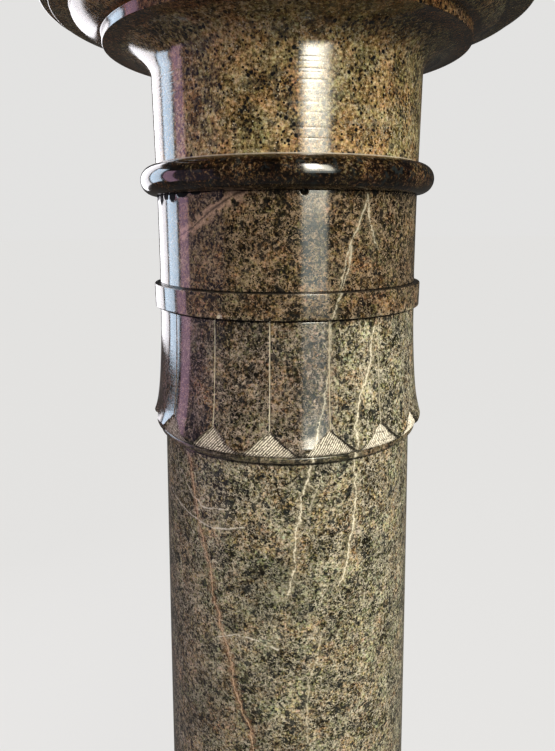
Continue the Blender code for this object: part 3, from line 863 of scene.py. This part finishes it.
def paleFloor(size):
    half = size["floorHalf"]
    mesh = bpy.data.meshes.new("floor")
    mesh.from_pydata([(-half, -half, 0), (half, -half, 0), (half, half, 0), (-half, half, 0)], [], [(0, 1, 2, 3)])
    paint = bpy.data.materials.new("paleFloor")
    paint.use_nodes = True
    nodes = Nodes(paint.node_tree)
    shader = paint.node_tree.nodes["Principled BSDF"]
    shader.inputs["Base Color"].default_value = (*size["floorColour"], 1)
    shader.inputs["Roughness"].default_value = 0.9
    glow = nodes.add("ShaderNodeEmission")
    glow.inputs["Color"].default_value = (*size["pale"], 1)
    glow.inputs["Strength"].default_value = size["paleShare"]
    both = nodes.add("ShaderNodeAddShader")
    nodes.put(both.inputs[0], shader.outputs[0])
    nodes.put(both.inputs[1], glow.outputs[0])
    seenByCamera(nodes, shader.outputs[0], both.outputs[0], paint.node_tree.nodes["Material Output"])
    mesh.materials.append(paint)
    floor = bpy.data.objects.new("floor", mesh)
    bpy.context.scene.collection.objects.link(floor)


def studioAir(size):
    # The air lights the stone dimly and evenly. The camera sees it as a pale backdrop.
    world = bpy.data.worlds.new("studio")
    bpy.context.scene.world = world
    world.use_nodes = True
    nodes = Nodes(world.node_tree)
    air = world.node_tree.nodes["Background"]
    air.inputs["Color"].default_value = (*size["airColour"], 1)
    air.inputs["Strength"].default_value = size["airStrength"]
    backdrop = nodes.add("ShaderNodeBackground")
    backdrop.inputs["Color"].default_value = (*size["pale"], 1)
    backdrop.inputs["Strength"].default_value = size["backdropStrength"]
    seenByCamera(nodes, air.outputs[0], backdrop.outputs[0], world.node_tree.nodes["World Output"])


lamps = {
    # turn: degrees from the front towards the right; from, to: elevation; wide: width in degrees.
    # A lamp that is "mirrored" shows in the polish alone, and a "soft" one nowhere in it.
    "frontPanel": {
        "turn": 17.8, "away": 2.3, "from": 3.0, "to": 40.0, "wide": 20.5, "radiance": 7.5,
        "colour": (1.0, 0.95, 0.78)},
    "rightStrip": {
        "turn": 23.6, "away": 2.25, "from": 5.0, "to": 36.0, "wide": 4.5, "radiance": 3.5,
        "colour": (1.0, 0.96, 0.82), "mirrored": True},
    "middleStrip": {
        "turn": 13.6, "away": 2.25, "from": 5.0, "to": 36.0, "wide": 5.0, "radiance": 5.5,
        "colour": (1.0, 0.97, 0.84), "mirrored": True},
    "lowerPanel": {
        "turn": 17.8, "away": 2.3, "from": -9.0, "to": 3.0, "wide": 20.5, "radiance": 2.2,
        "colour": (0.90, 1.0, 0.93), "mirrored": True},
    "topLamp": {
        "turn": 15.0, "away": 2.0, "from": 15.0, "to": 46.0, "wide": 12.0, "radiance": 16.0,
        "colour": (1.0, 0.96, 0.86), "mirrored": True},
    "leftPanel": {
        "turn": -144.0, "away": 2.2, "from": -12.0, "to": 30.0, "wide": 26.0, "radiance": 3.6,
        "colour": (0.97, 0.95, 1.0)},
    "leftStrip": {
        "turn": -119.0, "away": 2.2, "from": -12.0, "to": 26.0, "wide": 17.0, "radiance": 5.0,
        "colour": (0.66, 0.82, 1.0), "mirrored": True},
    "sidePanel": {
        "turn": -101.0, "away": 2.3, "from": -22.0, "to": 20.0, "wide": 12.0, "radiance": 1.6,
        "colour": (1.0, 0.60, 0.84), "mirrored": True},
    "sideFill": {
        "turn": -76.0, "away": 2.3, "from": -40.0, "to": 22.0, "wide": 36.0, "radiance": 0.13,
        "colour": (0.80, 0.62, 1.0), "mirrored": True},
    "leftFill": {
        "turn": -82.0, "away": 2.3, "from": -25.0, "to": 35.0, "wide": 40.0, "radiance": 2.0,
        "colour": (1.0, 0.82, 0.98), "soft": True},
}


def panel(name, size):
    # A flat panel that faces the column's upper part and fills the given angles as seen from there.
    middle = Vector((0, 0, 1.48))
    turn = math.radians(size["turn"])
    low, high = math.radians(size["from"]), math.radians(size["to"])
    away = size["away"]
    bottom, top = away * math.tan(low), away * math.tan(high)
    lamp = bpy.data.lights.new(name, "AREA")
    lamp.shape = "RECTANGLE"
    lamp.size = 2 * away * math.tan(math.radians(size["wide"] / 2))
    lamp.size_y = top - bottom
    lamp.color = size["colour"]
    lamp.energy = size["radiance"] * math.pi * lamp.size * lamp.size_y
    held = bpy.data.objects.new(name, lamp)
    held.location = middle + Vector((away * math.sin(turn), -away * math.cos(turn), (bottom + top) / 2))
    held.rotation_euler = (math.radians(90), 0, turn)
    held.visible_diffuse = not size.get("mirrored", False)
    held.visible_glossy = not size.get("soft", False)
    bpy.context.scene.collection.objects.link(held)


overhead = {"energy": 4.6, "breadth": 60.0, "lean": 53.0, "turn": 45.0, "colour": (1.0, 0.96, 0.90)}


def skyLight(size):
    # A broad light that leans over from straight above, then turns to the right, in degrees.
    sun = bpy.data.lights.new("overhead", "SUN")
    sun.energy = size["energy"]
    sun.angle = math.radians(size["breadth"])
    sun.color = size["colour"]
    held = bpy.data.objects.new("overhead", sun)
    held.rotation_euler = (math.radians(size["lean"]), 0, math.radians(size["turn"]))
    held.visible_glossy = False  # it lights the stone and leaves no disc in the polish
    bpy.context.scene.collection.objects.link(held)


view = {
    "place": (-0.0506, -0.5897, 1.482), "turn": 3.98, "pitch": -14.28, "roll": -0.30,
    "focal": 28.84, "sensor": 36.0,
}


def setCamera(size):
    # Turned right by turn, tilted down by pitch and rolled about its own line of sight, all in degrees.
    lens = bpy.data.cameras.new("camera")
    lens.sensor_width, lens.lens = size["sensor"], size["focal"]
    lens.clip_start, lens.clip_end = 0.02, 200
    camera = bpy.data.objects.new("camera", lens)
    camera.matrix_world = (
        Matrix.Translation(size["place"])
        @ Matrix.Rotation(math.radians(-size["turn"]), 4, "Z")
        @ Matrix.Rotation(math.radians(90 + size["pitch"]), 4, "X")
        @ Matrix.Rotation(math.radians(size["roll"]), 4, "Z")
    )
    bpy.context.scene.collection.objects.link(camera)
    bpy.context.scene.camera = camera


paleFloor(stage)
studioAir(stage)
for name, size in lamps.items():
    panel(name, size)
skyLight(overhead)
setCamera(view)
bpy.context.scene.view_settings.view_transform = "Standard"
print("studio set")
